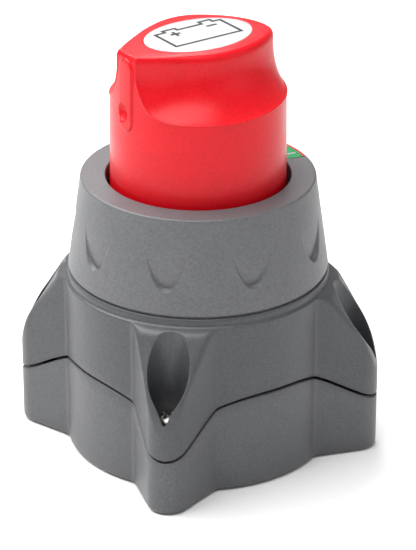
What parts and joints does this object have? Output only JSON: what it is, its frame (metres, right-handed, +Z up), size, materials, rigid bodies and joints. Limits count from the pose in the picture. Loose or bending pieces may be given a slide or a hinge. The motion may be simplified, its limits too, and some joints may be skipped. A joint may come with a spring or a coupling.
{
  "type": "battery isolating switch",
  "caption": "Surface battery isolating switch: lobed grey housing, fluted collar, and a red quarter-turn knob with a finger-grip bar and pointer.",
  "frame": {"origin": "centre of the underside, on the knob's axis", "axes": "+Z up along the knob's axis; the knob's pointer is towards -Y at rest; the four screw lobes are on the diagonals of X and Y"},
  "size_m": [0.0964, 0.0964, 0.1531],
  "materials": {
    "base_grey": "fine spark-eroded grain",
    "cover_grey": "fine spark-eroded grain",
    "collar_grey": "satin, fine grain",
    "knob_red": "satin, fine grain",
    "label_white": "gloss film",
    "label_green": "gloss film",
    "label_red": "gloss film",
    "seal_rubber": "matt",
    "zinc_steel": "zinc plated",
    "spindle_steel": "turned",
    "spring_steel": "oiled",
    "bush_plastic": "moulded",
    "rotor_black": "moulded",
    "ring_plastic": "moulded",
    "copper": "milled copper",
    "stud_brass": "turned",
    "ball_steel": "polished"
  },
  "bodies": {
    "housing": {"base": "base_grey", "cover": "cover_grey", "cover_seal": "seal_rubber", "cover_screws": "zinc_steel", "collar": "collar_grey", "collar_screws": "zinc_steel", "on_label": "label_green", "off_label": "label_red", "bush": "bush_plastic", "shaft_seal": "seal_rubber", "detent_ring": "ring_plastic", "contact_left": "copper", "contact_right": "copper", "terminal_studs": "stud_brass", "stud_washers": "zinc_steel", "lock_washers": "spring_steel", "stud_nuts": "stud_brass"},
    "handle": {"knob": "knob_red", "knob_label": "label_white", "knob_screw": "zinc_steel", "spindle": "spindle_steel", "circlip": "spring_steel", "rotor": "rotor_black", "contact_bridge": "copper", "contact_springs": "spring_steel", "detent_balls": "ball_steel", "detent_springs": "spring_steel"}
  },
  "joints": [
    {"name": "knob_turn", "type": "hinge", "parent": "housing", "child": "handle", "pos_m": [0, 0, 0.1], "axis": [0, 0, 1], "range_deg": [0, 90]}
  ]
}
